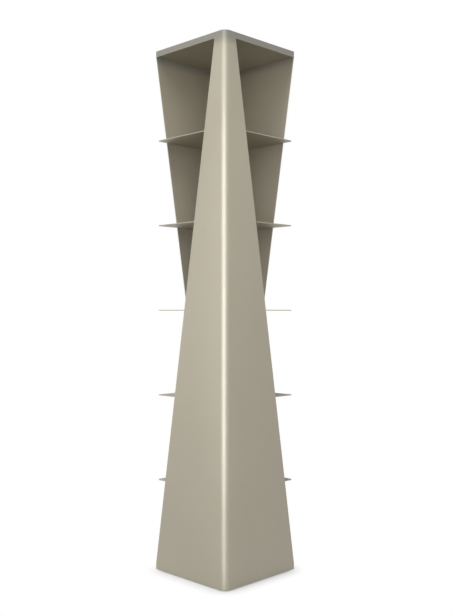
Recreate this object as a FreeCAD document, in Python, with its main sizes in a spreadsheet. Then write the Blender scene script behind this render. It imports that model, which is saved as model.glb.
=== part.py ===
import FreeCAD, Part
import math
import os
import re
import Sketcher

# Tower bookcase of folded sheet steel on four levelling feet.
# +Z is up, and the origin is on the floor under the middle of the square plan.
# The front fold stands at the corner (-X, -Y) and the rear fold at (+X, +Y).
# The left corner is at (-X, +Y) and the right corner at (+X, -Y).

SIZES = (
    # Corner sheets: two equal blanks, each folded once to a right angle.
    ("plan_width", 360),
    ("sheet_height", 1910),
    ("sheet_thickness", 3),
    ("fold_radius", 25),
    ("rim_height", 22),
    ("narrow_width", 52),
    ("rim_joint_gap", 0.3),
    ("cutout_corner_radius", 3),
    # Plates: the base, the shelves and the top are equal plates at one pitch.
    ("shelf_count", 5),
    ("shelf_thickness", 3),
    ("shelf_edge_gap", 1),
    ("free_corner_radius", 10),
    ("end_recess", 17),
    # Fixing tabs, folded down from each plate beside the two folds.
    ("tab_width", 20),
    ("tab_drop", 15),
    ("tab_hole_drop", 8),
    ("tab_corner_radius", 4),
    ("tab_fold_clearance", 1),
    ("bend_radius", 1.5),
    ("relief_width", 3),
    ("stud_hole_clearance", 0.25),
    # Weld studs, washers and cap nuts that clamp the tabs.
    ("stud_diameter", 5),
    ("stud_end_gap", 1.8),
    ("stud_chamfer", 0.6),
    ("stud_flange_diameter", 6.5),
    ("stud_flange_height", 0.8),
    ("washer_diameter", 10),
    ("washer_thickness", 1),
    ("washer_clearance", 0.15),
    ("nut_flats", 8),
    ("nut_hex_height", 4),
    ("nut_height", 10),
    ("nut_dome_diameter", 7.5),
    ("nut_dome_flat", 0.5),
    ("nut_crown", 2.2),
    ("nut_thread_clearance", 0.05),
    # Levelling feet: a bush under the base plate, a screw and a pad.
    ("foot_gap", 3),
    ("foot_inset", 50),
    ("foot_screw_diameter", 8),
    ("foot_screw_chamfer", 0.8),
    ("foot_key_flats", 4),
    ("foot_key_depth", 5),
    ("foot_head_diameter", 12),
    ("foot_clearance", 0.3),
    ("bush_diameter", 16),
    ("bush_pad_clearance", 0.5),
    ("pad_diameter", 34),
    ("pad_height", 5),
    ("pad_floor", 1.4),
    ("pad_lip", 1),
    ("pad_chamfer", 0.8),
)

# Lengths that follow from the sizes, as expressions of their names.
INNER_FACE = "(plan_width / 2 - sheet_thickness)"
PLATE_HALF = f"({INNER_FACE} - shelf_edge_gap)"
INNER_FOLD_RADIUS = "(fold_radius - sheet_thickness)"
RIM_END = "(plan_width - sheet_thickness - rim_joint_gap)"
CUTOUT_TOP = "(sheet_height - rim_height)"
BASE_TOP = "(foot_gap + end_recess + shelf_thickness)"
PITCH = "((sheet_height - 2 * end_recess - shelf_thickness) / (shelf_count + 1))"
BEND_OUTER_RADIUS = "(bend_radius + shelf_thickness)"
TAB_NEAR = "(plan_width / 2 - fold_radius - tab_fold_clearance - relief_width)"
TAB_FAR = f"({TAB_NEAR} - tab_width)"
TAB_MIDDLE = f"({TAB_NEAR} - tab_width / 2)"
TAB_INNER_FACE = f"({INNER_FACE} - shelf_thickness)"
TAB_END = "(shelf_thickness + tab_drop)"
STUD_DROP = "(shelf_thickness + tab_hole_drop)"
NUT_BORE_RADIUS = "(stud_diameter / 2 + nut_thread_clearance)"
NUT_BORE_DEPTH = "(nut_height - nut_crown)"
STUD_LENGTH = f"(shelf_thickness + washer_thickness + {NUT_BORE_DEPTH} - stud_end_gap)"
BUSH_HEIGHT = "(end_recess - pad_height - bush_pad_clearance)"
FOOT_PLACE = "(plan_width / 2 - foot_inset)"
FOOT_BORE_RADIUS = "(foot_screw_diameter / 2 + foot_clearance)"

OVERCUT = 5
TOLERANCE = 1e-4
HEXAGON_SIDES = 6

doc = FreeCAD.newDocument("spine_bookshelf")
sizes = doc.addObject("Spreadsheet::Sheet", "sizes")
for row, (alias, number) in enumerate(SIZES, 1):
    sizes.set(f"A{row}", alias)
    sizes.set(f"B{row}", str(number))
    sizes.setAlias(f"B{row}", alias)
doc.recompute()

nodes = []


def cell_expression(text):
    """Turn the names in an expression into references to the sheet's cells."""
    return re.sub(r"[a-z][a-z_]+", lambda name: f"sizes.{name.group()}", text)


def size(text):
    """Work out an expression of sizes as a number."""
    return float(sizes.evalExpression(cell_expression(text)))


def bind(target, path, text):
    """Tie one property of an object to an expression of sizes."""
    target.setExpression(path, cell_expression(text))


def new_body(label):
    body = doc.addObject("PartDesign::Body", label)
    body.Label = label
    return body


def place(target, x="0", y="0", z="0", rotation=None):
    """Set an object's turn, and tie its position to expressions of sizes."""
    if rotation is not None:
        target.Placement = FreeCAD.Placement(FreeCAD.Vector(), rotation)
    for axis, text in zip("xyz", (x, y, z)):
        bind(target, f"Placement.Base.{axis}", text)


def new_sketch(body, plane, name):
    """Start a sketch on one of the body's own origin planes."""
    sketch = body.newObject("Sketcher::SketchObject", name)
    support = next(item for item in body.Origin.OriginFeatures if item.Role == plane)
    sketch.AttachmentSupport = [(support, "")]
    sketch.MapMode = "FlatFace"
    return sketch


def pin_point(sketch, curve, point, x, y):
    """Hold a point of a curve at two expressions of sizes."""
    for kind, text in (("DistanceX", x), ("DistanceY", y)):
        number = sketch.addConstraint(Sketcher.Constraint(kind, curve, point, size(text)))
        bind(sketch, f"Constraints[{number}]", text)


def add_outline(sketch, corners):
    """Draw a closed straight-sided outline through corners given as expressions."""
    points = [FreeCAD.Vector(size(x), size(y), 0) for x, y in corners]
    first = sketch.GeometryCount
    count = len(corners)
    for start, end in zip(points, points[1:] + points[:1]):
        sketch.addGeometry(Part.LineSegment(start, end), False)
    for index, (x, y) in enumerate(corners):
        following = first + (index + 1) % count
        sketch.addConstraint(Sketcher.Constraint("Coincident", first + index, 2, following, 1))
        pin_point(sketch, first + index, 1, x, y)


def add_rectangle(sketch, x_low, y_low, x_high, y_high):
    add_outline(sketch, [(x_low, y_low), (x_high, y_low), (x_high, y_high), (x_low, y_high)])


def add_circle(sketch, x, y, radius):
    """Draw a circle whose centre and radius are expressions of sizes."""
    centre = FreeCAD.Vector(size(x), size(y), 0)
    curve = sketch.addGeometry(Part.Circle(centre, FreeCAD.Vector(0, 0, 1), size(radius)), False)
    pin_point(sketch, curve, 3, x, y)
    number = sketch.addConstraint(Sketcher.Constraint("Radius", curve, size(radius)))
    bind(sketch, f"Constraints[{number}]", radius)


def add_hexagon(sketch, flats):
    """Draw a hexagon round the sketch origin from its width across flats."""
    corners = []
    for index in range(HEXAGON_SIDES):
        angle = math.tau * index / HEXAGON_SIDES
        x = math.cos(angle) / math.sqrt(3)
        y = math.sin(angle) / math.sqrt(3)
        corners.append((f"{flats} * ({x:.9f})", f"{flats} * ({y:.9f})"))
    add_outline(sketch, corners)


def pad(body, sketch, length, reverse=False):
    feature = body.newObject("PartDesign::Pad", f"{sketch.Name}_pad")
    feature.Profile = sketch
    feature.Reversed = reverse
    bind(feature, "Length", length)
    doc.recompute()


def pocket(body, sketch, depth=None):
    """Cut a sketch's outline to a depth, or through everything on both its sides."""
    before = body.Shape.Volume
    feature = body.newObject("PartDesign::Pocket", f"{sketch.Name}_cut")
    feature.Profile = sketch
    if depth is None:
        feature.Type = "ThroughAll"
        feature.SideType = "Symmetric"
    else:
        bind(feature, "Length", depth)
    doc.recompute()
    if not body.Shape.Volume < before - TOLERANCE:
        raise RuntimeError(f"{feature.Label} removes nothing")


def turn(body, sketch, axis):
    """Turn a half section about one of the sketch's own axes."""
    feature = body.newObject("PartDesign::Revolution", f"{sketch.Name}_turned")
    feature.Profile = sketch
    feature.ReferenceAxis = (sketch, [axis])
    doc.recompute()


def round_edges(body, midpoints, radius, name):
    """Fillet the edges of the body whose middles lie at the given points."""
    base = body.Tip
    names = []
    for midpoint in midpoints:
        point = FreeCAD.Vector(*[size(text) for text in midpoint])
        found = [
            f"Edge{number}"
            for number, edge in enumerate(base.Shape.Edges, 1)
            if edge.CenterOfMass.distanceToPoint(point) < TOLERANCE
        ]
        if len(found) != 1:
            raise RuntimeError(f"{body.Label}: {len(found)} edges at {point} for {name}")
        names += found
    feature = body.newObject("PartDesign::Fillet", f"{body.Name}_{name}")
    feature.Base = (base, names)
    bind(feature, "Radius", radius)
    doc.recompute()


def corner_sheet(label):
    """Fold one blank: wings along +X and +Y from the fold, full width at the bottom."""
    body = new_body(label)
    section = new_sketch(body, "XY_Plane", f"{label}_section")
    add_outline(section, [
        ("0", "0"),
        ("plan_width", "0"),
        ("plan_width", "sheet_thickness"),
        ("sheet_thickness", "sheet_thickness"),
        ("sheet_thickness", "plan_width"),
        ("0", "plan_width"),
    ])
    pad(body, section, "sheet_height")
    middle = "sheet_height / 2"
    round_edges(body, [("0", "0", middle)], "fold_radius", "fold_outside")
    inner = "sheet_thickness"
    round_edges(body, [(inner, inner, middle)], INNER_FOLD_RADIUS, "fold_inside")
    for plane in ("YZ_Plane", "XZ_Plane"):
        cutout = new_sketch(body, plane, f"{label}_{plane[:2]}_cutout")
        beyond = f"plan_width + {OVERCUT}"
        add_outline(cutout, [
            ("narrow_width", CUTOUT_TOP),
            (RIM_END, CUTOUT_TOP),
            (RIM_END, f"sheet_height + {OVERCUT}"),
            (beyond, f"sheet_height + {OVERCUT}"),
            (beyond, "rim_height"),
            ("plan_width", "rim_height"),
        ])
        pocket(body, cutout)
    half = "sheet_thickness / 2"
    corners = [(half, "narrow_width", CUTOUT_TOP), ("narrow_width", half, CUTOUT_TOP)]
    round_edges(body, corners, "cutout_corner_radius", "cutout_corners")
    nodes.append(body)
    return body


def tab_rectangles(near, far, edge, inside):
    """Give the four tabs' ranges: two at the front fold and two at the rear fold."""
    front_x = (f"-{edge}", f"-{near}", f"-{inside}", f"-{far}")
    front_y = (f"-{near}", f"-{edge}", f"-{far}", f"-{inside}")
    rear_x = (inside, far, edge, near)
    rear_y = (far, inside, near, edge)
    return front_x, front_y, rear_x, rear_y


def plate(label, foot_holes=False):
    """Make a plate whose top face is at its own zero, with its four tabs folded down."""
    body = new_body(label)
    outline = new_sketch(body, "XY_Plane", f"{label}_outline")
    add_rectangle(outline, f"-{PLATE_HALF}", f"-{PLATE_HALF}", PLATE_HALF, PLATE_HALF)
    pad(body, outline, "shelf_thickness", reverse=True)

    level = "-shelf_thickness / 2"
    fold_corners = [(f"-{PLATE_HALF}", f"-{PLATE_HALF}", level), (PLATE_HALF, PLATE_HALF, level)]
    round_edges(body, fold_corners, f"{INNER_FOLD_RADIUS} - shelf_edge_gap", "fold_corners")
    free_corners = [(f"-{PLATE_HALF}", PLATE_HALF, level), (PLATE_HALF, f"-{PLATE_HALF}", level)]
    round_edges(body, free_corners, "free_corner_radius", "free_corners")

    reliefs = new_sketch(body, "XY_Plane", f"{label}_reliefs")
    relief_end = f"({PLATE_HALF} - {BEND_OUTER_RADIUS})"
    for near in (f"({TAB_NEAR} + relief_width)", TAB_FAR):
        for ranges in tab_rectangles(near, f"({near} - relief_width)", INNER_FACE, relief_end):
            add_rectangle(reliefs, *ranges)
    pocket(body, reliefs)

    tabs = new_sketch(body, "XY_Plane", f"{label}_tabs")
    for ranges in tab_rectangles(TAB_NEAR, TAB_FAR, INNER_FACE, TAB_INNER_FACE):
        add_rectangle(tabs, *ranges)
    pad(body, tabs, TAB_END, reverse=True)

    bend_outside = []
    bend_inside = []
    tab_corners = []
    tab_centre = f"({TAB_INNER_FACE} + shelf_thickness / 2)"
    for sign in ("-", ""):
        bend_outside += [
            (f"{sign}{INNER_FACE}", f"{sign}{TAB_MIDDLE}", "0"),
            (f"{sign}{TAB_MIDDLE}", f"{sign}{INNER_FACE}", "0"),
        ]
        bend_inside += [
            (f"{sign}{TAB_INNER_FACE}", f"{sign}{TAB_MIDDLE}", "-shelf_thickness"),
            (f"{sign}{TAB_MIDDLE}", f"{sign}{TAB_INNER_FACE}", "-shelf_thickness"),
        ]
        for end in (TAB_NEAR, TAB_FAR):
            tab_corners += [
                (f"{sign}{tab_centre}", f"{sign}{end}", f"-{TAB_END}"),
                (f"{sign}{end}", f"{sign}{tab_centre}", f"-{TAB_END}"),
            ]
    round_edges(body, bend_outside, BEND_OUTER_RADIUS, "bend_outside")
    round_edges(body, bend_inside, "bend_radius", "bend_inside")
    round_edges(body, tab_corners, "tab_corner_radius", "tab_corners")

    stud_hole_radius = "stud_flange_diameter / 2 + stud_hole_clearance"
    for plane in ("YZ_Plane", "XZ_Plane"):
        holes = new_sketch(body, plane, f"{label}_{plane[:2]}_holes")
        for sign in ("-", ""):
            add_circle(holes, f"{sign}{TAB_MIDDLE}", f"-{STUD_DROP}", stud_hole_radius)
        pocket(body, holes)
    if foot_holes:
        holes = new_sketch(body, "XY_Plane", f"{label}_foot_holes")
        for x_sign in ("-", ""):
            for y_sign in ("-", ""):
                add_circle(holes, f"{x_sign}{FOOT_PLACE}", f"{y_sign}{FOOT_PLACE}", FOOT_BORE_RADIUS)
        pocket(body, holes)
    nodes.append(body)
    return body


def weld_stud():
    """Make one flanged stud along +X, its welded foot at zero."""
    body = new_body("weld_stud")
    section = new_sketch(body, "XY_Plane", "stud_section")
    add_outline(section, [
        ("0", "0"),
        ("0", "stud_flange_diameter / 2"),
        ("stud_flange_height", "stud_flange_diameter / 2"),
        ("stud_flange_height", "stud_diameter / 2"),
        (f"{STUD_LENGTH} - stud_chamfer", "stud_diameter / 2"),
        (STUD_LENGTH, "stud_diameter / 2 - stud_chamfer"),
        (STUD_LENGTH, "0"),
    ])
    turn(body, section, "H_Axis")
    return body


def washer():
    """Make one flat washer along +X."""
    body = new_body("washer")
    section = new_sketch(body, "XY_Plane", "washer_section")
    bore = "stud_diameter / 2 + washer_clearance"
    add_rectangle(section, "0", bore, "washer_thickness", "washer_diameter / 2")
    turn(body, section, "H_Axis")
    return body


def cap_nut():
    """Make one domed nut along +X, its seat at zero and its bore blind."""
    body = new_body("cap_nut")
    dome = new_sketch(body, "XY_Plane", "nut_dome")
    add_outline(dome, [
        ("0", NUT_BORE_RADIUS),
        ("0", "nut_dome_diameter / 2"),
        ("nut_height", "nut_dome_diameter / 2"),
        ("nut_height", "0"),
        (NUT_BORE_DEPTH, "0"),
        (NUT_BORE_DEPTH, NUT_BORE_RADIUS),
    ])
    turn(body, dome, "H_Axis")
    round_edges(body, [("nut_height", "0", "0")], "nut_dome_diameter / 2 - nut_dome_flat", "dome_edge")
    hexagon = new_sketch(body, "YZ_Plane", "nut_hexagon")
    add_hexagon(hexagon, "nut_flats")
    add_circle(hexagon, "0", "0", NUT_BORE_RADIUS)
    pad(body, hexagon, "nut_hex_height")
    return body


def fastener_group(label, master, offset):
    """Set copies of a fastener on both wings of the front sheet, one pair for each plate."""
    solids = []
    along_x = FreeCAD.Rotation()
    along_y = FreeCAD.Rotation(FreeCAD.Vector(0, 0, 1), 90)
    seat = -size(INNER_FACE) + offset
    across = -size(TAB_MIDDLE)
    for level in range(len(plate_labels)):
        height = size(f"{BASE_TOP} + {level} * {PITCH} - {STUD_DROP}")
        for x, y, rotation in ((seat, across, along_x), (across, seat, along_y)):
            spot = FreeCAD.Placement(FreeCAD.Vector(x, y, height), rotation)
            solids.append(master.Shape.transformed(spot.toMatrix()))
    group = doc.addObject("Part::Feature", label)
    group.Label = label
    group.Shape = Part.makeCompound(solids)
    nodes.append(group)
    return group


def foot_bushes():
    """Make the four threaded bushes that are welded under the base plate."""
    body = new_body("foot_bushes")
    ring = new_sketch(body, "XY_Plane", "bush_rings")
    for x_sign in ("-", ""):
        for y_sign in ("-", ""):
            add_circle(ring, f"{x_sign}{FOOT_PLACE}", f"{y_sign}{FOOT_PLACE}", "bush_diameter / 2")
            add_circle(ring, f"{x_sign}{FOOT_PLACE}", f"{y_sign}{FOOT_PLACE}", FOOT_BORE_RADIUS)
    pad(body, ring, BUSH_HEIGHT, reverse=True)
    place(body, z="foot_gap + end_recess")
    nodes.append(body)


def foot_pad(label):
    """Make a round pad with a socket that holds the screw's head under a lip."""
    body = new_body(label)
    section = new_sketch(body, "XZ_Plane", f"{label}_section")
    socket = "foot_head_diameter / 2 + foot_clearance"
    add_outline(section, [
        ("0", "0"),
        ("pad_diameter / 2 - pad_chamfer", "0"),
        ("pad_diameter / 2", "pad_chamfer"),
        ("pad_diameter / 2", "pad_height - pad_chamfer"),
        ("pad_diameter / 2 - pad_chamfer", "pad_height"),
        (FOOT_BORE_RADIUS, "pad_height"),
        (FOOT_BORE_RADIUS, "pad_height - pad_lip"),
        (socket, "pad_height - pad_lip"),
        (socket, "pad_floor"),
        ("0", "pad_floor"),
    ])
    turn(body, section, "V_Axis")
    nodes.append(body)
    return body


def foot_screw(label):
    """Make a headed screw that turns in its pad, with a key socket in its upper end."""
    body = new_body(label)
    section = new_sketch(body, "XZ_Plane", f"{label}_section")
    head_low = "pad_floor + foot_clearance"
    head_high = "pad_height - pad_lip - foot_clearance"
    top = "(end_recess + shelf_thickness)"
    add_outline(section, [
        ("0", head_low),
        ("foot_head_diameter / 2", head_low),
        ("foot_head_diameter / 2", head_high),
        ("foot_screw_diameter / 2", head_high),
        ("foot_screw_diameter / 2", f"{top} - foot_screw_chamfer"),
        ("foot_screw_diameter / 2 - foot_screw_chamfer", top),
        ("0", top),
    ])
    turn(body, section, "V_Axis")
    key = new_sketch(body, "XY_Plane", f"{label}_key")
    bind(key, "AttachmentOffset.Base.z", top)
    add_hexagon(key, "foot_key_flats")
    pocket(body, key, "foot_key_depth")
    nodes.append(body)
    return body


shelf_labels = [f"shelf_{number}" for number in range(1, int(size("shelf_count")) + 1)]
plate_labels = ["base_plate", *shelf_labels, "top_plate"]

front_sheet = corner_sheet("front_corner_sheet")
place(front_sheet, "-plan_width / 2", "-plan_width / 2", "foot_gap")

over_side_corners = FreeCAD.Rotation(FreeCAD.Vector(1, -1, 0), 180)
rear_sheet = corner_sheet("rear_corner_sheet")
place(rear_sheet, "plan_width / 2", "plan_width / 2", "foot_gap + sheet_height", over_side_corners)

for level, label in enumerate(plate_labels):
    level_plate = plate(label, foot_holes=label == "base_plate")
    place(level_plate, z=f"{BASE_TOP} + {level} * {PITCH}")

half_turn = FreeCAD.Rotation(FreeCAD.Vector(0, 0, 1), 180)
tab_thickness = size("shelf_thickness")
fasteners = (
    ("weld_studs", weld_stud(), 0),
    ("washers", washer(), tab_thickness),
    ("cap_nuts", cap_nut(), tab_thickness + size("washer_thickness")),
)
for kind, master, offset in fasteners:
    fastener_group(f"front_{kind}", master, offset)
    rear_group = fastener_group(f"rear_{kind}", master, offset)
    rear_group.Placement = FreeCAD.Placement(FreeCAD.Vector(), half_turn)

foot_bushes()
foot_corners = {"front": ("-", "-"), "left": ("-", ""), "right": ("", "-"), "rear": ("", "")}
for corner, (x_sign, y_sign) in foot_corners.items():
    for piece in (foot_pad(f"foot_pad_{corner}"), foot_screw(f"foot_screw_{corner}")):
        place(piece, f"{x_sign}{FOOT_PLACE}", f"{y_sign}{FOOT_PLACE}")

doc.recompute()
for item in doc.Objects:
    if {"Invalid", "Error"} & set(item.State):
        raise RuntimeError(f"{item.Label} failed: {item.State}")
for node in nodes:
    if node.Shape.isNull() or not node.Shape.isValid():
        raise RuntimeError(f"{node.Label} has no valid shape")

os.makedirs("parts", exist_ok=True)
for node in nodes:
    node.Shape.exportStep(f"parts/{node.Label}.step")
    print(node.Label, len(node.Shape.Solids), round(node.Shape.Volume))
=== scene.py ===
import math

import bmesh
import bpy
from mathutils import Matrix, Vector


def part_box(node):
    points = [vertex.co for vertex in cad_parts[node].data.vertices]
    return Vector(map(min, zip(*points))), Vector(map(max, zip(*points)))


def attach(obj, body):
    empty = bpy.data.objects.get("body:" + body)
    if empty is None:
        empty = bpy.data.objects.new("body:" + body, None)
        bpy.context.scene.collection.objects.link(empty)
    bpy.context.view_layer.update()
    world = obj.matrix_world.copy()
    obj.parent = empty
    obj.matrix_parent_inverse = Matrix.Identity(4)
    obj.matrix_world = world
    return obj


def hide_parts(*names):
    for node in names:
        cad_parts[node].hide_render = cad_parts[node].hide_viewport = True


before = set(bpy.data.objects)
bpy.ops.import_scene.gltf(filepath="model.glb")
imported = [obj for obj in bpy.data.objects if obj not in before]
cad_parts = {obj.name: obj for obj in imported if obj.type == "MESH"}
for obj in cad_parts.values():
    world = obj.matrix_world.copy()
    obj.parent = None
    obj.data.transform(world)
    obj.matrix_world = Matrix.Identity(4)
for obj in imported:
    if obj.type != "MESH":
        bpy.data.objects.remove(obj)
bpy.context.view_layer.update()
scene = bpy.context.scene

# Corner sheets: two equal blanks of 3 mm steel, laser cut and folded once round a large former.
# One stands wide end down at the front, the other wide end up at the rear, and the rims of each close
# round the other. Both are powder coated in a satin warm grey with fine metal, with painted shade
# that makes the coat darker and greyer towards the upper rim.
sheet_low, sheet_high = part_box("front_corner_sheet")
plan_width = sheet_high.x - sheet_low.x
sheet_height = sheet_high.z - sheet_low.z
sheet_thickness = 0.003
fold_radius = 0.025
fold_steps = 20
rim_height = 0.022
narrow_width = 0.052
rim_joint_gap = 0.0003
cutout_round = 0.0035
cutout_round_steps = 6
cut_edge_round = 0.0006
edge_round_steps = 3
sharp_angle = math.radians(35)
weld_distance = 1e-6
# Painted shade: the sheets' coat turns darker and greyer from below the upper rim up to its top.
rim_shade_start = 0.060
rim_shade_full = 0.015
coat_deep = (0.448, 0.413, 0.331)
coat_pale = (0.473, 0.437, 0.353)
coat_rim_shade = (0.292, 0.279, 0.241)
# Paler coat along the edges: rubbed wear, and partly a painted highlight.
coat_edge_wear_and_highlight = (0.640, 0.600, 0.510)
coat_wear_and_highlight_share = 0.18
coat_metal_share = 0.5


def soften_edges(bm, width):
    """Round every edge that is a cut edge and not a step of a bend."""
    bm.normal_update()
    sharp = [edge for edge in bm.edges if edge.calc_face_angle(0.0) > sharp_angle]
    bmesh.ops.bevel(
        bm,
        geom=sharp,
        offset=width,
        affect="EDGES",
        segments=edge_round_steps,
        profile=0.5,
        material=-1,
    )


def round_corners(bm, verts, radius, steps):
    """Round corners of a flat outline."""
    bmesh.ops.bevel(
        bm, geom=verts, offset=radius, affect="VERTICES", segments=steps, profile=0.5, material=-1
    )


def mirror_across(bm, turn):
    """Add the mirror image across an upright plane through the origin, and weld the two along it."""
    bmesh.ops.mirror(
        bm,
        geom=bm.verts[:] + bm.edges[:] + bm.faces[:],
        matrix=Matrix.Rotation(turn, 4, "Z"),
        axis="X",
        merge_dist=weld_distance,
    )


def fold_blank():
    """Cut one wing, sweep half the fold from its upright edge, and mirror both into a sheet."""
    bm = bmesh.new()
    rim_end = plan_width - sheet_thickness - rim_joint_gap
    cutout_top = sheet_height - rim_height
    outline = (
        (fold_radius, 0.0),
        (plan_width, 0.0),
        (plan_width, rim_height),
        (narrow_width, cutout_top),
        (rim_end, cutout_top),
        (rim_end, sheet_height),
        (fold_radius, sheet_height),
    )
    corners = [bm.verts.new((along, 0.0, height)) for along, height in outline]
    bm.faces.new(corners)
    fold_edge = bm.edges.get((corners[-1], corners[0]))
    bmesh.ops.spin(
        bm,
        geom=[corners[-1], corners[0], fold_edge],
        cent=(fold_radius, fold_radius, 0.0),
        axis=(0.0, 0.0, 1.0),
        angle=-math.pi / 4,
        steps=fold_steps,
    )
    round_corners(bm, [corners[3]], cutout_round, cutout_round_steps)
    mirror_across(bm, math.pi / 4)
    bmesh.ops.remove_doubles(bm, verts=bm.verts, dist=weld_distance)
    bmesh.ops.recalc_face_normals(bm, faces=bm.faces)
    bmesh.ops.solidify(bm, geom=bm.faces[:], thickness=sheet_thickness)
    soften_edges(bm, cut_edge_round)
    return bm


def add_piece(name, bm, material, slot, body, *nodes):
    """Make a finished mesh a piece that rides on a body and stands for CAD nodes."""
    bm.normal_update()
    for face in bm.faces:
        face.smooth = True
    for edge in bm.edges:
        edge.smooth = edge.calc_face_angle(0.0) < sharp_angle
    mesh = bpy.data.meshes.new(name)
    bm.to_mesh(mesh)
    bm.free()
    mesh.materials.append(material)
    piece = bpy.data.objects.new(name, mesh)
    scene.collection.objects.link(piece)
    shading = piece.modifiers.new("flat_faces", "WEIGHTED_NORMAL")
    shading.keep_sharp = True
    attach(piece, body)
    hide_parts(*nodes)


def start_group(name, inputs, outputs):
    """Open a node group with number inputs, given with their usual values, and number outputs."""
    group = bpy.data.node_groups.new(name, "ShaderNodeTree")
    for socket_name, usual in inputs.items():
        socket = group.interface.new_socket(socket_name, in_out="INPUT", socket_type="NodeSocketFloat")
        socket.default_value = usual
    for socket_name in outputs:
        group.interface.new_socket(socket_name, in_out="OUTPUT", socket_type="NodeSocketFloat")
    return group, group.nodes.new("NodeGroupInput"), group.nodes.new("NodeGroupOutput")


def combine(tree, operation, *sources):
    """Work out a number from numbers or outputs."""
    node = tree.nodes.new("ShaderNodeMath")
    node.operation = operation
    for socket, source in zip(node.inputs, sources):
        if isinstance(source, float):
            socket.default_value = source
        else:
            tree.links.new(source, socket)
    return node.outputs[0]


def ease(tree, source, start, end, low=0.0, high=1.0):
    """Ease an output that goes from start to end into a value that goes from low to high."""
    node = tree.nodes.new("ShaderNodeMapRange")
    node.interpolation_type = "SMOOTHSTEP"
    node.inputs["From Min"].default_value = start
    node.inputs["From Max"].default_value = end
    node.inputs["To Min"].default_value = low
    node.inputs["To Max"].default_value = high
    tree.links.new(source, node.inputs["Value"])
    return node.outputs["Result"]


def spread_values(tree, mask, low, high):
    """Spread a mask output over a range of values."""
    node = tree.nodes.new("ShaderNodeMapRange")
    node.inputs["To Min"].default_value = low
    node.inputs["To Max"].default_value = high
    tree.links.new(mask, node.inputs["Value"])
    return node.outputs["Result"]


def place_group(tree, group, **values):
    """Place a node group in a tree with its own values, named with underscores for spaces."""
    node = tree.nodes.new("ShaderNodeGroup")
    node.node_tree = group
    for name, value in values.items():
        node.inputs[name.replace("_", " ")].default_value = value
    return node


def sized_noise(group, size, detail, roughness):
    """Place noise on a piece's own coordinates, with features of a size output in metres."""
    place = group.nodes.new("ShaderNodeTexCoord")
    noise = group.nodes.new("ShaderNodeTexNoise")
    noise.inputs["Detail"].default_value = detail
    noise.inputs["Roughness"].default_value = roughness
    group.links.new(place.outputs["Object"], noise.inputs["Vector"])
    group.links.new(combine(group, "DIVIDE", 1.0, size), noise.inputs["Scale"])
    return noise.outputs["Fac"]


def grain_group():
    """Fine surface grain of a given size in metres, as a height from 0 to 1."""
    group, given, result = start_group("surface_grain", {"Grain Size": 0.001}, ["Height"])
    noise = sized_noise(group, given.outputs["Grain Size"], detail=2.0, roughness=0.55)
    group.links.new(noise, result.inputs["Height"])
    return group


def mottle_group():
    """Soft cloudy patches of a given size in metres, as a mask from 0 to 1."""
    group, given, result = start_group("soft_mottle", {"Patch Size": 0.2}, ["Mask"])
    noise = sized_noise(group, given.outputs["Patch Size"], detail=4.0, roughness=0.5)
    group.links.new(ease(group, noise, start=0.3, end=0.7), result.inputs["Mask"])
    return group


def edge_wear_and_highlight_group():
    """Mask of a strip along edges, broken up by patches: rubbed wear, and on the coat a painted highlight.
    """
    group, given, result = start_group("edge_wear_and_highlight", {"Width": 0.002, "Patch Size": 0.03}, ["Mask"])
    rounded = group.nodes.new("ShaderNodeBevel")
    rounded.samples = 6
    group.links.new(given.outputs["Width"], rounded.inputs["Radius"])
    surface = group.nodes.new("ShaderNodeNewGeometry")
    facing = group.nodes.new("ShaderNodeVectorMath")
    facing.operation = "DOT_PRODUCT"
    group.links.new(rounded.outputs["Normal"], facing.inputs[0])
    group.links.new(surface.outputs["Normal"], facing.inputs[1])
    bent = ease(group, facing.outputs["Value"], start=0.995, end=0.85)
    patches = place_group(group, soft_mottle)
    group.links.new(given.outputs["Patch Size"], patches.inputs["Patch Size"])
    broken = spread_values(group, patches.outputs["Mask"], low=0.45, high=1.0)
    group.links.new(combine(group, "MULTIPLY", bent, broken), result.inputs["Mask"])
    return group


surface_grain = grain_group()
soft_mottle = mottle_group()
edge_wear_and_highlight = edge_wear_and_highlight_group()


def blend_colours(tree, mask, below, above):
    """Mix two colours, each a tuple or an output, by a mask output."""
    mix = tree.nodes.new("ShaderNodeMix")
    mix.data_type = "RGBA"
    tree.links.new(mask, mix.inputs["Factor"])
    for colour, socket in ((below, mix.inputs["A"]), (above, mix.inputs["B"])):
        if isinstance(colour, tuple):
            socket.default_value = (*colour, 1.0)
        else:
            tree.links.new(colour, socket)
    return mix.outputs["Result"]


def new_material(name):
    """Start a node material, and give it with its tree and its shader."""
    material = bpy.data.materials.new(name)
    material.use_nodes = True
    tree = material.node_tree
    return material, tree, tree.nodes["Principled BSDF"]


def raise_grain(tree, shader, height, strength, depth):
    """Let a height output raise the surface by up to a depth in metres."""
    bump = tree.nodes.new("ShaderNodeBump")
    bump.inputs["Strength"].default_value = strength
    bump.inputs["Distance"].default_value = depth
    tree.links.new(height, bump.inputs["Height"])
    tree.links.new(bump.outputs["Normal"], shader.inputs["Normal"])


def rim_shade_mask(tree):
    """Give a mask output for the painted shade, rising from below the upper rim to its top edge."""
    place = tree.nodes.new("ShaderNodeTexCoord")
    split = tree.nodes.new("ShaderNodeSeparateXYZ")
    tree.links.new(place.outputs["Object"], split.inputs[0])
    return ease(tree, split.outputs["Z"], sheet_high.z - rim_shade_start, sheet_high.z - rim_shade_full)


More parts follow.
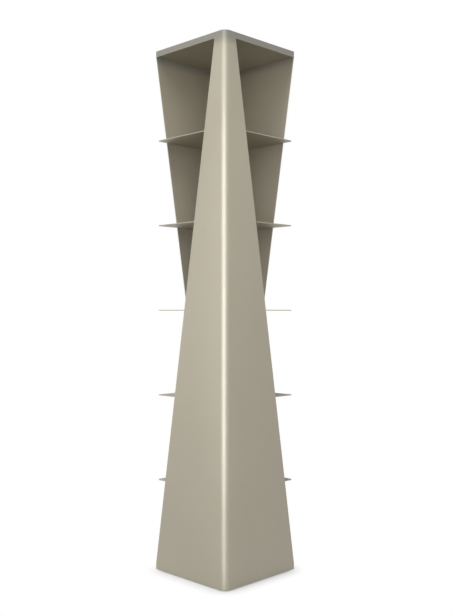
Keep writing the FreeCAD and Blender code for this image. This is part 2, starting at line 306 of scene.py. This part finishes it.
def warm_grey_coat(name, shaded_rim):
    """Satin powder coat with fine metal: cloudy tint, orange-peel grain, edges paler by wear and painted
    highlight.
    """
    material, tree, shader = new_material(name)
    clouds = place_group(tree, soft_mottle, Patch_Size=0.22)
    coat = blend_colours(tree, clouds.outputs["Mask"], coat_deep, coat_pale)
    # Painted shade: the coat darker and greyer towards the upper rim.
    if shaded_rim:
        coat = blend_colours(tree, rim_shade_mask(tree), coat, coat_rim_shade)
    # Paler edges: the coat is thin and rubbed there, and partly this is a painted highlight.
    worn_and_lit_edges = place_group(tree, edge_wear_and_highlight, Width=0.0018, Patch_Size=0.05)
    worn_and_lit_share = spread_values(tree, worn_and_lit_edges.outputs["Mask"], low=0.0, high=coat_wear_and_highlight_share)
    coat = blend_colours(tree, worn_and_lit_share, coat, coat_edge_wear_and_highlight)
    tree.links.new(coat, shader.inputs["Base Color"])
    peel = place_group(tree, surface_grain, Grain_Size=0.0012)
    sheen = spread_values(tree, clouds.outputs["Mask"], low=0.49, high=0.55)
    tree.links.new(sheen, shader.inputs["Roughness"])
    raise_grain(tree, shader, peel.outputs["Height"], strength=0.12, depth=0.0002)
    shader.inputs["Metallic"].default_value = coat_metal_share
    return material


sheet_coat = warm_grey_coat("sheet_coat", shaded_rim=True)
front_sheet = fold_blank()
front_sheet.transform(Matrix.Translation(sheet_low))
add_piece("front_sheet", front_sheet, sheet_coat, "paint", "frame", "front_corner_sheet")

rear_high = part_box("rear_corner_sheet")[1]
over_side_corners = Matrix.Rotation(math.pi, 4, Vector((1.0, -1.0, 0.0)))
rear_sheet = fold_blank()
rear_sheet.transform(Matrix.Translation(rear_high) @ over_side_corners)
add_piece("rear_sheet", rear_sheet, sheet_coat, "paint", "frame", "rear_corner_sheet")

# Plates: base, five shelves and top, equal squares of 3 mm steel powder coated like the sheets.
# Beside each fold two tabs are bent down between relief slots; they are clamped on the sheets' studs.
# The base plate alone is drilled over the four levelling screws.
plate_nodes = ["base_plate", "shelf_1", "shelf_2", "shelf_3", "shelf_4", "shelf_5", "top_plate"]
shelf_low, shelf_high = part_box("shelf_1")
tab_face = shelf_high.x
plate_edge_gap = 0.001
plate_half = tab_face - plate_edge_gap
plate_thickness = 0.003
tab_near = 0.151
tab_width = 0.020
tab_far = tab_near - tab_width
tab_middle = tab_near - tab_width / 2
tab_drop = shelf_high.z - shelf_low.z
tab_corner_radius = 0.004
tab_corner_steps = 5
stud_drop = 0.011
tab_hole_radius = 0.0035
hole_steps = 32
relief_width = 0.003
bend_radius = 0.0045
bend_steps = 8
fold_corner_radius = fold_radius - sheet_thickness - plate_edge_gap
free_corner_radius = 0.010
corner_steps = 12
plate_edge_round = 0.0005
foot_hole_radius = 0.0043
foot_low, foot_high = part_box("foot_pad_rear")
foot_place = (foot_low.x + foot_high.x) / 2
foot_corners = {"front": (-1, -1), "left": (-1, 1), "right": (1, -1), "rear": (1, 1)}


def foot_spot(corner, height):
    """Give the place on a foot's axis at a height."""
    x_side, y_side = foot_corners[corner]
    return Matrix.Translation((x_side * foot_place, y_side * foot_place, height))


def pick(parts, kind):
    """Pick the parts of one kind out of what an operation gives."""
    return [part for part in parts if isinstance(part, kind)]


def ring_edges(bm, radius, steps, matrix):
    """Draw a ring of edges and give them."""
    verts = bmesh.ops.create_circle(bm, segments=steps, radius=radius, matrix=matrix)["verts"]
    return list({edge for vert in verts for edge in vert.link_edges})


def pierce(bm, face, rings, normal):
    """Fill a face again with holes inside its outline."""
    outline = face.edges[:]
    bmesh.ops.delete(bm, geom=[face], context="FACES_ONLY")
    edges = outline + [edge for ring in rings for edge in ring]
    bmesh.ops.triangle_fill(bm, edges=edges, use_beauty=True, normal=normal)


def quarter_plate():
    """Cut the quarter between the front fold and the right corner, with one tab bent down."""
    bm = bmesh.new()
    relief_end = plate_half - bend_radius
    bend_start = tab_face - bend_radius
    outline = (
        (0.0, 0.0),
        (-plate_half, -plate_half),
        (-tab_near - relief_width, -plate_half),
        (-tab_near - relief_width, -relief_end),
        (-tab_near, -relief_end),
        (-tab_near, -bend_start),
        (-tab_far, -bend_start),
        (-tab_far, -relief_end),
        (-tab_far + relief_width, -relief_end),
        (-tab_far + relief_width, -plate_half),
        (plate_half, -plate_half),
    )
    corners = [bm.verts.new((x, y, 0.0)) for x, y in outline]
    bm.faces.new(corners)
    bend_edge = bm.edges.get((corners[5], corners[6]))
    bent = bmesh.ops.spin(
        bm,
        geom=[corners[5], corners[6], bend_edge],
        cent=(0.0, -bend_start, -bend_radius),
        axis=(1.0, 0.0, 0.0),
        angle=math.pi / 2,
        steps=bend_steps,
    )
    bend_end = pick(bent["geom_last"], bmesh.types.BMEdge)
    tab = bmesh.ops.extrude_edge_only(bm, edges=bend_end)["geom"]
    tab_end = pick(tab, bmesh.types.BMVert)
    bmesh.ops.translate(bm, verts=tab_end, vec=(0.0, 0.0, bend_radius - tab_drop))
    round_corners(bm, tab_end, tab_corner_radius, tab_corner_steps)
    tab_turn = Matrix.Rotation(math.pi / 2, 4, "X")
    tab_plane = Matrix.Translation((-tab_middle, -tab_face, -stud_drop)) @ tab_turn
    bm.normal_update()
    flat_tab = min(bm.faces, key=lambda face: face.calc_center_median().z)
    hole = ring_edges(bm, tab_hole_radius, hole_steps, tab_plane)
    pierce(bm, flat_tab, [hole], (0.0, -1.0, 0.0))
    return bm


def bent_plate(drilled):
    """Mirror the quarter into a whole plate with its top face at zero, and give it its thickness."""
    bm = quarter_plate()
    for turn in (-math.pi / 4, math.pi / 4):
        mirror_across(bm, turn)
    bmesh.ops.remove_doubles(bm, verts=bm.verts, dist=weld_distance)
    centre = min(bm.verts, key=lambda vert: vert.co.length)
    bmesh.ops.dissolve_verts(bm, verts=[centre])
    outer = plate_half - weld_distance
    square_corners = [vert for vert in bm.verts if min(abs(vert.co.x), abs(vert.co.y)) > outer]
    fold_corners = [vert for vert in square_corners if vert.co.x * vert.co.y > 0]
    free_corners = [vert for vert in square_corners if vert.co.x * vert.co.y < 0]
    round_corners(bm, fold_corners, fold_corner_radius, corner_steps)
    round_corners(bm, free_corners, free_corner_radius, corner_steps)
    if drilled:
        rings = []
        for corner in foot_corners:
            rings.append(ring_edges(bm, foot_hole_radius, hole_steps, foot_spot(corner, height=0.0)))
        panel = max(bm.faces, key=lambda face: face.calc_area())
        pierce(bm, panel, rings, (0.0, 0.0, 1.0))
    bmesh.ops.recalc_face_normals(bm, faces=bm.faces)
    bmesh.ops.solidify(bm, geom=bm.faces[:], thickness=plate_thickness)
    soften_edges(bm, plate_edge_round)
    return bm


plate_coat = warm_grey_coat("plate_coat", shaded_rim=False)
plate_tops = [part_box(node)[1].z for node in plate_nodes]
for node, top in zip(plate_nodes, plate_tops):
    plate = bent_plate(drilled=node == "base_plate")
    plate.transform(Matrix.Translation((0.0, 0.0, top)))
    add_piece(f"{node}_panel", plate, plate_coat, "paint", "frame", node)

# Weld studs: steel studs with a small flange, zinc plated and shot onto the inner faces of the sheets,
# two for each plate. The plates' tabs hang on them.
zinc_dull = (0.56, 0.55, 0.52)
zinc_bright = (0.68, 0.67, 0.64)
zinc_rubbed = (0.80, 0.79, 0.76)
zinc_rub_share = 0.5


def plated_steel():
    """Bright zinc: cloudy sheen, fine turning grain and edges rubbed brighter."""
    material, tree, shader = new_material("plated_steel")
    clouds = place_group(tree, soft_mottle, Patch_Size=0.005)
    zinc = blend_colours(tree, clouds.outputs["Mask"], zinc_dull, zinc_bright)
    worn_and_lit_edges = place_group(tree, edge_wear_and_highlight, Width=0.0004, Patch_Size=0.002)
    worn_and_lit_share = spread_values(tree, worn_and_lit_edges.outputs["Mask"], low=0.0, high=zinc_rub_share)
    zinc = blend_colours(tree, worn_and_lit_share, zinc, zinc_rubbed)
    tree.links.new(zinc, shader.inputs["Base Color"])
    sheen = spread_values(tree, clouds.outputs["Mask"], low=0.26, high=0.40)
    tree.links.new(sheen, shader.inputs["Roughness"])
    turned = place_group(tree, surface_grain, Grain_Size=0.0003)
    raise_grain(tree, shader, turned.outputs["Height"], strength=0.15, depth=0.00003)
    shader.inputs["Metallic"].default_value = 1.0
    return material


zinc_plate = plated_steel()
for node in ("front_weld_studs", "rear_weld_studs"):
    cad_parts[node].material_slots[0].material = zinc_plate

# Washers: flat rings of zinc plated steel, blanked from sheet and tumbled, so their edges are round.
# One sits on each stud between the tab and the cap nut.
washer_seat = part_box("front_washers")[0].x
washer_radius = 0.005
washer_bore = 0.00265
washer_thickness = 0.001
washer_edge_round = 0.0002
washer_steps = 32
wings = ((Matrix.Identity(4), -tab_middle), (Matrix.Rotation(math.pi / 2, 4, "Z"), tab_middle))
sheet_turns = {"front": Matrix.Identity(4), "rear": Matrix.Rotation(math.pi, 4, "Z")}


def turn_profile(outline, steps, closed):
    """Turn an outline of radius and height once round the upright axis."""
    bm = bmesh.new()
    verts = [bm.verts.new((radius, 0.0, height)) for radius, height in outline]
    edges = [bm.edges.new(pair) for pair in zip(verts, verts[1:])]
    if closed:
        edges.append(bm.edges.new((verts[-1], verts[0])))
    bmesh.ops.spin(
        bm,
        geom=verts + edges,
        cent=(0.0, 0.0, 0.0),
        axis=(0.0, 0.0, 1.0),
        angle=2 * math.pi,
        steps=steps,
        use_merge=True,
    )
    bmesh.ops.remove_doubles(bm, verts=bm.verts, dist=weld_distance)
    bmesh.ops.recalc_face_normals(bm, faces=bm.faces)
    return bm


def set_copies(master, places):
    """Set a copy of a finished mesh at each place."""
    pattern = bpy.data.meshes.new("pattern")
    master.to_mesh(pattern)
    master.free()
    copies = bmesh.new()
    for place in places:
        start = len(copies.verts)
        copies.from_mesh(pattern)
        copies.verts.ensure_lookup_table()
        bmesh.ops.transform(copies, matrix=place, verts=copies.verts[start:])
    bpy.data.meshes.remove(pattern)
    return copies


def stud_places(side, seat):
    """Give the places on one sheet's studs, at a distance from the axis and pointing inwards."""
    lying = Matrix.Rotation(math.pi / 2, 4, "Y")
    places = []
    for top in plate_tops:
        for wing_turn, across in wings:
            spot = Matrix.Translation((seat, across, top - stud_drop))
            places.append(sheet_turns[side] @ wing_turn @ spot @ lying)
    return places


washer_outline = (
    (washer_bore, 0.0),
    (washer_radius, 0.0),
    (washer_radius, washer_thickness),
    (washer_bore, washer_thickness),
)
for side in sheet_turns:
    washer = turn_profile(washer_outline, washer_steps, closed=True)
    soften_edges(washer, washer_edge_round)
    washers = set_copies(washer, stud_places(side, washer_seat))
    add_piece(f"{side}_washer_set", washers, zinc_plate, "plated_steel", "frame", f"{side}_washers")

# Cap nuts: M5 domed nuts turned from hexagon steel bar and zinc plated, with a blind bore.
# They are screwed onto the studs and clamp the tabs, and the domes cover the studs' ends.
nut_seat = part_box("front_cap_nuts")[0].x
nut_sides = 6
nut_flats = 0.008
nut_hex_height = 0.004
nut_height = 0.010
nut_dome_radius = 0.00375
nut_dome_flat = 0.0005
nut_chamfer_radius = 0.0039
nut_chamfer_slope = math.radians(30)
nut_chamfer_steps = 24
nut_bore_radius = 0.0026
nut_bore_depth = 0.0078
dome_steps = 8
cut_tolerance = 1e-8


def cut_away(bm, point, outward):
    """Cut off what lies outside a plane and give the edges of the cut."""
    parts = bm.verts[:] + bm.edges[:] + bm.faces[:]
    cut = bmesh.ops.bisect_plane(
        bm, geom=parts, dist=cut_tolerance, plane_co=point, plane_no=outward, clear_outer=True
    )
    return pick(cut["geom_cut"], bmesh.types.BMEdge)


def chamfer_bar(bm, level, upward):
    """Chamfer one end of the hexagon bar with cuts that all touch one cone."""
    for step in range(nut_chamfer_steps):
        angle = 2 * math.pi * step / nut_chamfer_steps
        out = Vector((math.cos(angle), math.sin(angle), 0.0))
        up = Vector((0.0, 0.0, upward))
        tilted = out * math.sin(nut_chamfer_slope) + up * math.cos(nut_chamfer_slope)
        rim = cut_away(bm, out * nut_chamfer_radius + Vector((0.0, 0.0, level)), tilted)
        bmesh.ops.edgeloop_fill(bm, edges=rim)


def step_face(bm, face, scale, lift):
    """Extrude an end face, scale it about the axis and move it along the axis."""
    face = bmesh.ops.extrude_discrete_faces(bm, faces=[face])["faces"][0]
    bmesh.ops.scale(bm, vec=(scale, scale, 1.0), verts=face.verts[:])
    bmesh.ops.translate(bm, vec=(0.0, 0.0, lift), verts=face.verts[:])
    return face


def cap_nut():
    """Saw and chamfer the bar, turn the dome on its end, and bore it from the seat."""
    bm = bmesh.new()
    corner_radius = nut_flats / 2 / math.cos(math.pi / nut_sides)
    bmesh.ops.create_circle(bm, cap_ends=True, segments=nut_sides, radius=corner_radius)
    bar = bmesh.ops.extrude_face_region(bm, geom=bm.faces[:])["geom"]
    bar_end = pick(bar, bmesh.types.BMVert)
    bmesh.ops.translate(bm, vec=(0.0, 0.0, nut_hex_height), verts=bar_end)
    bmesh.ops.recalc_face_normals(bm, faces=bm.faces)
    chamfer_bar(bm, level=nut_hex_height, upward=1.0)
    chamfer_bar(bm, level=0.0, upward=-1.0)
    end = max(bm.faces, key=lambda face: face.calc_center_median().z)
    seat = min(bm.faces, key=lambda face: face.calc_center_median().z)
    end = step_face(bm, end, scale=nut_dome_radius / nut_chamfer_radius, lift=0.0)
    dome_round = nut_dome_radius - nut_dome_flat
    end = step_face(bm, end, scale=1.0, lift=nut_height - dome_round - nut_hex_height)
    radius = nut_dome_radius
    height = 0.0
    for step in range(1, dome_steps + 1):
        angle = math.pi / 2 * step / dome_steps
        next_radius = nut_dome_flat + dome_round * math.cos(angle)
        next_height = dome_round * math.sin(angle)
        end = step_face(bm, end, next_radius / radius, next_height - height)
        radius = next_radius
        height = next_height
    seat = step_face(bm, seat, scale=nut_bore_radius / nut_chamfer_radius, lift=0.0)
    step_face(bm, seat, scale=1.0, lift=nut_bore_depth)
    bmesh.ops.recalc_face_normals(bm, faces=bm.faces)
    return bm


for side in sheet_turns:
    nuts = set_copies(cap_nut(), stud_places(side, nut_seat))
    add_piece(f"{side}_cap_nut_set", nuts, zinc_plate, "plated_steel", "frame", f"{side}_cap_nuts")

# Foot bushes: round steel bosses, bored through for the levelling screws. They are welded under the
# base plate with a bead all round, and powder coated with it.
bush_low, bush_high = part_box("foot_bushes")
bush_radius = bush_high.x - foot_place
bush_height = bush_high.z - bush_low.z
bush_chamfer = 0.0008
bead_leg = 0.0026
bead_bulge = ((0.25, 0.10), (0.65, 0.35), (0.90, 0.75))
bead_ripple = 0.00010
bead_ripple_count = 40
bush_steps = 160


def foot_bush():
    """Turn the boss with its weld bead, then ripple the bead."""
    bead_low = bush_height - bead_leg
    outline = [
        (foot_hole_radius, bush_chamfer),
        (foot_hole_radius + bush_chamfer, 0.0),
        (bush_radius - bush_chamfer, 0.0),
        (bush_radius, bush_chamfer),
        (bush_radius, bead_low),
    ]
    for out_share, up_share in bead_bulge:
        outline.append((bush_radius + bead_leg * out_share, bead_low + bead_leg * up_share))
    outline += [(bush_radius + bead_leg, bush_height), (foot_hole_radius, bush_height)]
    bm = turn_profile(outline, bush_steps, closed=True)
    for vert in bm.verts:
        radius = vert.co.xy.length
        if bush_radius + weld_distance < radius and vert.co.z < bush_height - weld_distance:
            wave = math.sin(math.atan2(vert.co.y, vert.co.x) * bead_ripple_count)
            vert.co.xy *= 1.0 + bead_ripple * wave / radius
            vert.co.z -= bead_ripple * wave
    return bm


bush_places = [foot_spot(corner, bush_low.z) for corner in foot_corners]
bushes = set_copies(foot_bush(), bush_places)
add_piece("welded_foot_bushes", bushes, plate_coat, "paint", "frame", "foot_bushes")

# Foot pads: black nylon discs, moulded with two grip rings in the underside and a socket that snaps
# over the screw's head. They stand on the floor and keep the steel off it.
pad_radius = (foot_high.x - foot_low.x) / 2
pad_height = foot_high.z - foot_low.z
pad_rim_round = 0.0008
pad_rim_steps = 4
pad_mouth_radius = 0.0043
pad_socket_radius = 0.0063
pad_socket_low = 0.0014
pad_socket_high = 0.004
pad_mould_round = 0.00015
grip_rings = (0.007, 0.012)
grip_width = 0.0012
grip_depth = 0.0005
pad_steps = 64
nylon_deep = (0.026, 0.026, 0.027)
nylon_pale = (0.036, 0.036, 0.037)
nylon_scuffed = (0.10, 0.10, 0.098)
nylon_scuff_share = 0.6


def black_nylon():
    """Moulded nylon: fine spark grain, slight clouding, and paler scuffs on the edges."""
    material, tree, shader = new_material("black_nylon")
    clouds = place_group(tree, soft_mottle, Patch_Size=0.008)
    nylon = blend_colours(tree, clouds.outputs["Mask"], nylon_deep, nylon_pale)
    scuffed = place_group(tree, edge_wear_and_highlight, Width=0.0008, Patch_Size=0.004)
    scuff_share = spread_values(tree, scuffed.outputs["Mask"], low=0.0, high=nylon_scuff_share)
    nylon = blend_colours(tree, scuff_share, nylon, nylon_scuffed)
    tree.links.new(nylon, shader.inputs["Base Color"])
    sheen = spread_values(tree, clouds.outputs["Mask"], low=0.46, high=0.60)
    tree.links.new(sheen, shader.inputs["Roughness"])
    spark = place_group(tree, surface_grain, Grain_Size=0.0005)
    raise_grain(tree, shader, spark.outputs["Height"], strength=0.3, depth=0.00006)
    return material


def round_rim(bm, radius, width, steps):
    """Round the sharp ring edges at a radius."""
    bm.normal_update()
    rims = []
    for edge in bm.edges:
        nearest = min(vert.co.xy.length for vert in edge.verts)
        if nearest > radius - weld_distance and edge.calc_face_angle(0.0) > sharp_angle:
            rims.append(edge)
    bmesh.ops.bevel(
        bm, geom=rims, offset=width, affect="EDGES", segments=steps, profile=0.5, material=-1
    )


def foot_pad():
    """Turn the disc with its rings and socket, and round it as a mould does."""
    outline = [(0.0, 0.0)]
    for ring in grip_rings:
        inner = ring - grip_width / 2
        outer = ring + grip_width / 2
        outline += [(inner, 0.0), (inner, grip_depth), (outer, grip_depth), (outer, 0.0)]
    outline += [
        (pad_radius, 0.0),
        (pad_radius, pad_height),
        (pad_mouth_radius, pad_height),
        (pad_mouth_radius, pad_socket_high),
        (pad_socket_radius, pad_socket_high),
        (pad_socket_radius, pad_socket_low),
        (0.0, pad_socket_low),
    ]
    bm = turn_profile(outline, pad_steps, closed=False)
    round_rim(bm, pad_radius, pad_rim_round, pad_rim_steps)
    soften_edges(bm, pad_mould_round)
    return bm


nylon = black_nylon()
for corner in foot_corners:
    pad = foot_pad()
    pad.transform(foot_spot(corner, foot_low.z))
    add_piece(f"{corner}_pad_disc", pad, nylon, "foot_nylon", f"{corner}_foot_pad", f"foot_pad_{corner}")

# Foot screws: M8 steel screws with rolled threads, zinc plated. The flat head turns in the pad's
# socket, and a key in the hexagon socket of the upper end turns the screw in its bush.
screw_low, screw_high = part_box("foot_screw_rear")
screw_bottom = screw_low.z
screw_top = screw_high.z
screw_radius = 0.004
screw_end_chamfer = 0.0008
thread_pitch = 0.00125
thread_root_radius = 0.00335
thread_flat_end = 0.13
thread_crest_start = 0.43
thread_run_in = 1.5
thread_spare_turns = 3
thread_steps = 32
head_radius = (screw_high.x - screw_low.x) / 2
head_height = 0.002
head_steps = 48
head_round = 0.0003
key_sides = 6
key_flats = 0.004
key_depth = 0.005
key_drill_point = 0.001


def drop_edges(bm, edges, drop):
    """Extrude a ring of edges straight down and give the new ring."""
    wall = bmesh.ops.extrude_edge_only(bm, edges=edges)["geom"]
    verts = pick(wall, bmesh.types.BMVert)
    bmesh.ops.translate(bm, vec=(0.0, 0.0, -drop), verts=verts)
    lowest = min(vert.co.z for vert in verts) + weld_distance
    wall_edges = pick(wall, bmesh.types.BMEdge)
    return [edge for edge in wall_edges if max(vert.co.z for vert in edge.verts) < lowest]


def foot_screw():
    """Roll a right-hand thread, cut it to length, and add the head and the key socket."""
    bm = bmesh.new()
    head_top = screw_bottom + head_height
    thread_low = head_top - thread_run_in * thread_pitch
    turns = math.ceil((screw_top - head_top) / thread_pitch) + thread_spare_turns
    outline = (
        (thread_root_radius, 0.0),
        (thread_root_radius, thread_flat_end),
        (screw_radius, thread_crest_start),
        (screw_radius, 1.0 - thread_crest_start),
        (thread_root_radius, 1.0 - thread_flat_end),
        (thread_root_radius, 1.0),
    )
    verts = [bm.verts.new((radius, 0.0, thread_low + share * thread_pitch)) for radius, share in outline]
    edges = [bm.edges.new(pair) for pair in zip(verts, verts[1:])]
    bmesh.ops.spin(
        bm,
        geom=verts + edges,
        cent=(0.0, 0.0, 0.0),
        axis=(0.0, 0.0, 1.0),
        dvec=(0.0, 0.0, thread_pitch / thread_steps),
        angle=2 * math.pi * turns,
        steps=turns * thread_steps,
    )
    bmesh.ops.remove_doubles(bm, verts=bm.verts, dist=weld_distance)
    top_rim = cut_away(bm, (0.0, 0.0, screw_top), (0.0, 0.0, 1.0))
    low_rim = cut_away(bm, (0.0, 0.0, head_top), (0.0, 0.0, -1.0))
    for vert in bm.verts:
        radius = vert.co.xy.length
        limit = screw_radius - max(0.0, vert.co.z - (screw_top - screw_end_chamfer))
        if radius > limit:
            vert.co.xy *= limit / radius
    key_radius = key_flats / 2 / math.cos(math.pi / key_sides)
    key_ring = ring_edges(bm, key_radius, key_sides, Matrix.Translation((0.0, 0.0, screw_top)))
    bmesh.ops.triangle_fill(bm, edges=top_rim + key_ring, use_beauty=True, normal=(0.0, 0.0, 1.0))
    key_floor = bmesh.ops.edgeloop_fill(bm, edges=drop_edges(bm, key_ring, key_depth))["faces"]
    drill_point = bmesh.ops.poke(bm, faces=key_floor)["verts"]
    bmesh.ops.translate(bm, vec=(0.0, 0.0, -key_drill_point), verts=drill_point)
    head_ring = ring_edges(bm, head_radius, head_steps, Matrix.Translation((0.0, 0.0, head_top)))
    bmesh.ops.triangle_fill(bm, edges=low_rim + head_ring, use_beauty=True, normal=(0.0, 0.0, 1.0))
    bmesh.ops.edgeloop_fill(bm, edges=drop_edges(bm, head_ring, head_height))
    bmesh.ops.recalc_face_normals(bm, faces=bm.faces)
    round_rim(bm, head_radius, head_round, edge_round_steps)
    return bm


for corner in foot_corners:
    screw = foot_screw()
    screw.transform(foot_spot(corner, height=0.0))
    body = f"{corner}_foot_screw"
    add_piece(f"{corner}_levelling_screw", screw, zinc_plate, "plated_steel", body, f"foot_screw_{corner}")

# Floor: a plain white studio sweep of painted board, which the object stands on. It is lit like
# the object close to the base, where it carries the soft shadow, and glows white further out.
floor_radius = 8.0
floor_steps = 64
shadow_start = 0.05
shadow_reach = 0.065
floor_bounce = (0.09, 0.086, 0.079, 1.0)
floor_board = (0.55, 0.55, 0.55, 1.0)
floor_roughness = 0.9
floor_mesh = bmesh.new()
bmesh.ops.create_circle(floor_mesh, cap_ends=True, segments=floor_steps, radius=floor_radius)
floor_data = bpy.data.meshes.new("floor")
floor_mesh.to_mesh(floor_data)
floor_mesh.free()
floor = bpy.data.objects.new("floor", floor_data)
scene.collection.objects.link(floor)


def choose_shader(tree, share, below, above):
    """Mix two shader outputs by a share output."""
    mix = tree.nodes.new("ShaderNodeMixShader")
    tree.links.new(share, mix.inputs[0])
    tree.links.new(below, mix.inputs[1])
    tree.links.new(above, mix.inputs[2])
    return mix.outputs[0]


def seen_directly(tree):
    """Give an output that is 1 for camera, glossy and transmission rays and 0 for the rest."""
    rays = tree.nodes.new("ShaderNodeLightPath")
    seen = combine(tree, "MAXIMUM", rays.outputs["Is Camera Ray"], rays.outputs["Is Glossy Ray"])
    return combine(tree, "MAXIMUM", seen, rays.outputs["Is Transmission Ray"])


def studio_floor():
    """White where it is seen, dark grey in what it throws back, and clear from below."""
    material, tree, shader = new_material("studio_floor")
    shader.inputs["Base Color"].default_value = floor_bounce
    shader.inputs["Roughness"].default_value = floor_roughness
    shader.inputs["Specular IOR Level"].default_value = 0.0
    lit = tree.nodes.new("ShaderNodeBsdfDiffuse")
    lit.inputs["Color"].default_value = floor_board
    place = tree.nodes.new("ShaderNodeTexCoord")
    split = tree.nodes.new("ShaderNodeSeparateXYZ")
    tree.links.new(place.outputs["Object"], split.inputs[0])
    reach = []
    for axis in ("X", "Y"):
        beyond = combine(tree, "ABSOLUTE", split.outputs[axis])
        beyond = combine(tree, "SUBTRACT", beyond, plan_width / 2 - shadow_start)
        beyond = combine(tree, "MAXIMUM", beyond, 0.0)
        reach.append(combine(tree, "MULTIPLY", beyond, beyond))
    distance = combine(tree, "SQRT", combine(tree, "ADD", *reach))
    outward = ease(tree, distance, start=0.0, end=shadow_start + shadow_reach)
    white = tree.nodes.new("ShaderNodeEmission")
    seen = choose_shader(tree, outward, lit.outputs[0], white.outputs[0])
    from_above = choose_shader(tree, seen_directly(tree), shader.outputs[0], seen)
    clear = tree.nodes.new("ShaderNodeBsdfTransparent")
    side = tree.nodes.new("ShaderNodeNewGeometry")
    whole = choose_shader(tree, side.outputs["Backfacing"], from_above, clear.outputs[0])
    tree.links.new(whole, tree.nodes["Material Output"].inputs["Surface"])
    return material


floor_data.materials.append(studio_floor())

# Light: a white studio with a darker ceiling and rear wall. A soft box hangs high on the left, one fills
# from the camera, and dimmer ones stand at the sides and behind. Two tall oval ones with grids, close to
# the front fold, draw the line of light down it.
camera_bearing = math.radians(-45)
ambient_level = 0.60
ambient_tint = (1.0, 0.955, 0.89, 1.0)
backdrop_tint = (1.0, 1.0, 1.0, 1.0)
wall_top = 0.35
ceiling_bottom = 0.85
ceiling_level = 0.40
rear_wall_start = 0.3
rear_wall_full = 0.9
rear_wall_level = 0.5
studio = bpy.data.worlds.new("studio")
scene.world = studio
studio.use_nodes = True
sky = studio.node_tree
ambient = sky.nodes["Background"]
ambient.inputs["Color"].default_value = ambient_tint
backdrop = sky.nodes.new("ShaderNodeBackground")
backdrop.inputs["Color"].default_value = backdrop_tint
direction = sky.nodes.new("ShaderNodeTexCoord")
upward = sky.nodes.new("ShaderNodeSeparateXYZ")
sky.links.new(direction.outputs["Generated"], upward.inputs[0])
ceiling = ease(sky, upward.outputs["Z"], wall_top, ceiling_bottom, low=1.0, high=ceiling_level)
rearward = sky.nodes.new("ShaderNodeVectorMath")
rearward.operation = "DOT_PRODUCT"
rearward.inputs[1].default_value = (-math.sin(camera_bearing), math.cos(camera_bearing), 0.0)
sky.links.new(direction.outputs["Generated"], rearward.inputs[0])
rear_wall = ease(
    sky, rearward.outputs["Value"], rear_wall_start, rear_wall_full, low=1.0, high=rear_wall_level
)
mirrored = combine(sky, "MULTIPLY", ceiling, rear_wall)
rays = sky.nodes.new("ShaderNodeLightPath")
shown = combine(sky, "MAXIMUM", mirrored, rays.outputs["Is Camera Ray"])
sky.links.new(shown, backdrop.inputs["Strength"])
fill = combine(sky, "MULTIPLY", ceiling, ambient_level)
sky.links.new(fill, ambient.inputs["Strength"])
room = choose_shader(sky, seen_directly(sky), ambient.outputs[0], backdrop.outputs[0])
sky.links.new(room, sky.nodes["World Output"].inputs["Surface"])


def soft_box(name, bearing, distance, height, aim, width, tall, brightness):
    """Hang a soft box at a bearing from the object's axis, facing a height on the axis."""
    data = bpy.data.lights.new(name, "AREA")
    data.shape = "RECTANGLE"
    data.size = width
    data.size_y = tall
    data.energy = brightness * math.pi * width * tall
    lamp = bpy.data.objects.new(name, data)
    scene.collection.objects.link(lamp)
    across = Vector((math.sin(bearing), -math.cos(bearing), 0.0))
    lamp.location = across * distance + Vector((0.0, 0.0, height))
    towards = lamp.location - Vector((0.0, 0.0, aim))
    lamp.rotation_euler = towards.to_track_quat("Z", "Y").to_euler()
    lamp.visible_camera = False
    return lamp


key_bearing = camera_bearing - math.radians(36)
key_box = soft_box(
    "key_box", key_bearing, distance=2.6, height=5.4, aim=0.9, width=2.4, tall=2.4, brightness=14.3
)
key_box.visible_glossy = False
fill_box = soft_box(
    "fill_box", camera_bearing, distance=3.0, height=1.6, aim=1.1, width=1.2, tall=1.2, brightness=3.8
)
fill_box.visible_glossy = False
left_bearing = camera_bearing - math.pi / 2
soft_box(
    "left_box", left_bearing, distance=2.6, height=1.05, aim=1.05, width=1.6, tall=1.2, brightness=0.6
)
right_bearing = camera_bearing + math.pi / 2
soft_box(
    "right_box", right_bearing, distance=2.6, height=2.0, aim=1.6, width=1.2, tall=0.8, brightness=0.6
)
rear_bearing = camera_bearing + math.pi + math.radians(30)
soft_box(
    "rear_box", rear_bearing, distance=2.4, height=1.25, aim=1.25, width=1.0, tall=2.0, brightness=2.5
)
strip_bearing = camera_bearing - math.radians(5.8)
strip_turn = math.radians(-12.5)
strip_grid = math.radians(60)
strip_tint = (0.90, 0.93, 1.0)
strip_height = 0.97
strip_width = 0.19


def fold_box(name, distance, tall, brightness):
    """Hang a tall oval box with a grid close to the front fold, and turn it from the axis to the fold."""
    lamp = soft_box(
        name,
        strip_bearing,
        distance,
        height=strip_height,
        aim=strip_height,
        width=strip_width,
        tall=tall,
        brightness=brightness,
    )
    lamp.rotation_euler.rotate_axis("Y", strip_turn)
    lamp.data.shape = "ELLIPSE"
    lamp.data.spread = strip_grid
    lamp.data.color = strip_tint
    lamp.visible_diffuse = False


fold_box("fold_strip", distance=0.387, tall=2.06, brightness=0.58)
fold_box("fold_core", distance=0.382, tall=1.32, brightness=0.24)

# Camera: level, at mid-height and square to the front fold, as the photograph was taken. The small
# shift sets the object where the photograph has it.
camera_distance = 3.092
camera_height = 0.958
sensor_width = 36.0
lens_length = 48.95
image_long_side = 616
centre_right = 1.42
centre_down = 2.24
lens_data = bpy.data.cameras.new("camera")
lens_data.sensor_width = sensor_width
lens_data.lens = lens_length
lens_data.shift_x = centre_right / image_long_side
lens_data.shift_y = centre_down / image_long_side
camera = bpy.data.objects.new("camera", lens_data)
scene.collection.objects.link(camera)
camera.location = (
    camera_distance * math.sin(camera_bearing),
    -camera_distance * math.cos(camera_bearing),
    camera_height,
)
camera.rotation_euler = (math.pi / 2, 0.0, camera_bearing)
scene.camera = camera

scene.view_settings.view_transform = "Standard"
